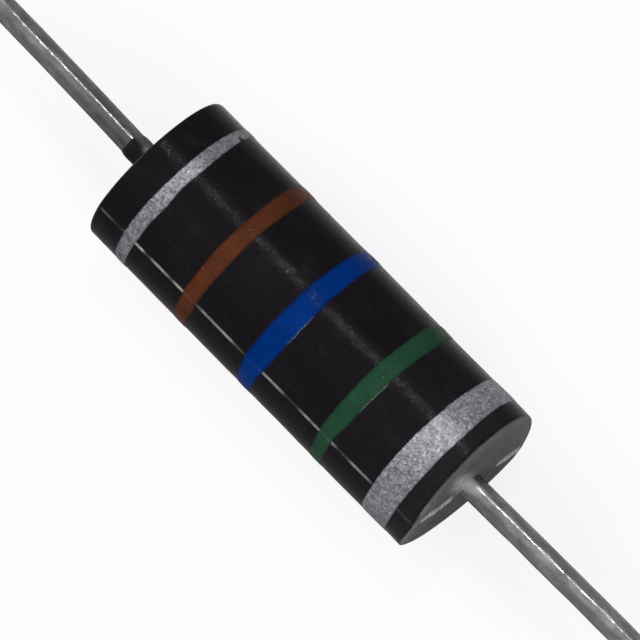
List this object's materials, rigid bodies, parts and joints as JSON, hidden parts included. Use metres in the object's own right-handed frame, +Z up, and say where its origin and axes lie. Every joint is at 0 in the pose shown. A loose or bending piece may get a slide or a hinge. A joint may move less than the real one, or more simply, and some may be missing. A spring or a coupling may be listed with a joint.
{
  "type": "axial inductor",
  "caption": "Axial inductor: black moulded cylinder with painted colour bands and a stiff tinned wire lead on each end.",
  "frame": {"origin": "on the lead axis, halfway between the two ends of the body, which is also halfway between the lead ends", "axes": "+X along the leads, towards the end with the wide silver band; +Z up; the mould seam lies 30 degrees above -Y and opposite"},
  "size_m": [0.0872, 0.0056, 0.0056],
  "materials": {
    "black_epoxy": "gloss",
    "tinned_wire": "satin",
    "silver_paint": "satin",
    "green_paint": "satin",
    "blue_paint": "satin",
    "brown_paint": "satin",
    "ferrite": "matte",
    "enamelled_copper": "gloss",
    "solder": "satin"
  },
  "bodies": {
    "root": {"epoxy_jacket": "black_epoxy", "ferrite_core": "ferrite", "winding": "enamelled_copper", "start_wire": "enamelled_copper", "finish_wire": "enamelled_copper", "solder_far": "solder", "solder_near": "solder", "lead_far": "tinned_wire", "lead_near": "tinned_wire", "band_wide_silver": "silver_paint", "band_green": "green_paint", "band_blue": "blue_paint", "band_brown": "brown_paint", "band_narrow_silver": "silver_paint"}
  },
  "joints": []
}
